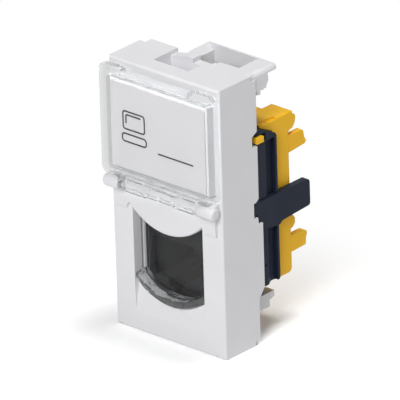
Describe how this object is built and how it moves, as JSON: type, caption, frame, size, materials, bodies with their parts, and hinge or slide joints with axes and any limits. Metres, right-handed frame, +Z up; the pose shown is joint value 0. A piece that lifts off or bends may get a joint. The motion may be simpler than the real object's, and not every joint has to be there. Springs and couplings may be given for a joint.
{
  "type": "keystone jack",
  "caption": "One-module data outlet insert with a modular jack, a hinged clear label cover, a sliding clear dust shutter and a clip-on wire cap.",
  "frame": {"origin": "middle of the lower edge of the front face, in the plane of the face", "axes": "+Z up, +Y from the face towards the wall, +X to the right as seen from the front"},
  "size_m": [0.0226, 0.0238, 0.045],
  "materials": {
    "white_plastic": "satin moulded",
    "label_paper": "smooth card",
    "clear_plastic": "clear polished",
    "charcoal_plastic": "fine matt",
    "navy_plastic": "fine matt",
    "yellow_plastic": "fine matt",
    "board": "solder mask",
    "gold_plate": "polished",
    "tin_plate": "tinned"
  },
  "bodies": {
    "housing": {"front_housing": "white_plastic", "label_card": "label_paper", "jack_housing": "charcoal_plastic", "contact_sled": "charcoal_plastic", "circuit_board": "board", "idc_block": "charcoal_plastic", "rear_frame": "navy_plastic", "wire_cap": "yellow_plastic", "contact_1": "gold_plate", "contact_2": "gold_plate", "contact_3": "gold_plate", "contact_4": "gold_plate", "contact_5": "gold_plate", "contact_6": "gold_plate", "contact_7": "gold_plate", "contact_8": "gold_plate", "idc_1": "tin_plate", "idc_2": "tin_plate", "idc_3": "tin_plate", "idc_4": "tin_plate", "idc_5": "tin_plate", "idc_6": "tin_plate", "idc_7": "tin_plate", "idc_8": "tin_plate"},
    "cover": {"label_cover": "clear_plastic"},
    "shutter": {"dust_shutter": "clear_plastic"}
  },
  "joints": [
    {"name": "label_cover_hinge", "type": "hinge", "parent": "housing", "child": "cover", "pos_m": [0, -0.0013, 0.0249], "axis": [-1, 0, 0], "range_deg": [-150, 0]},
    {"name": "shutter_slide", "type": "slide", "parent": "housing", "child": "shutter", "axis": [0, 0, 1], "range_m": [0, 0.0108]}
  ]
}
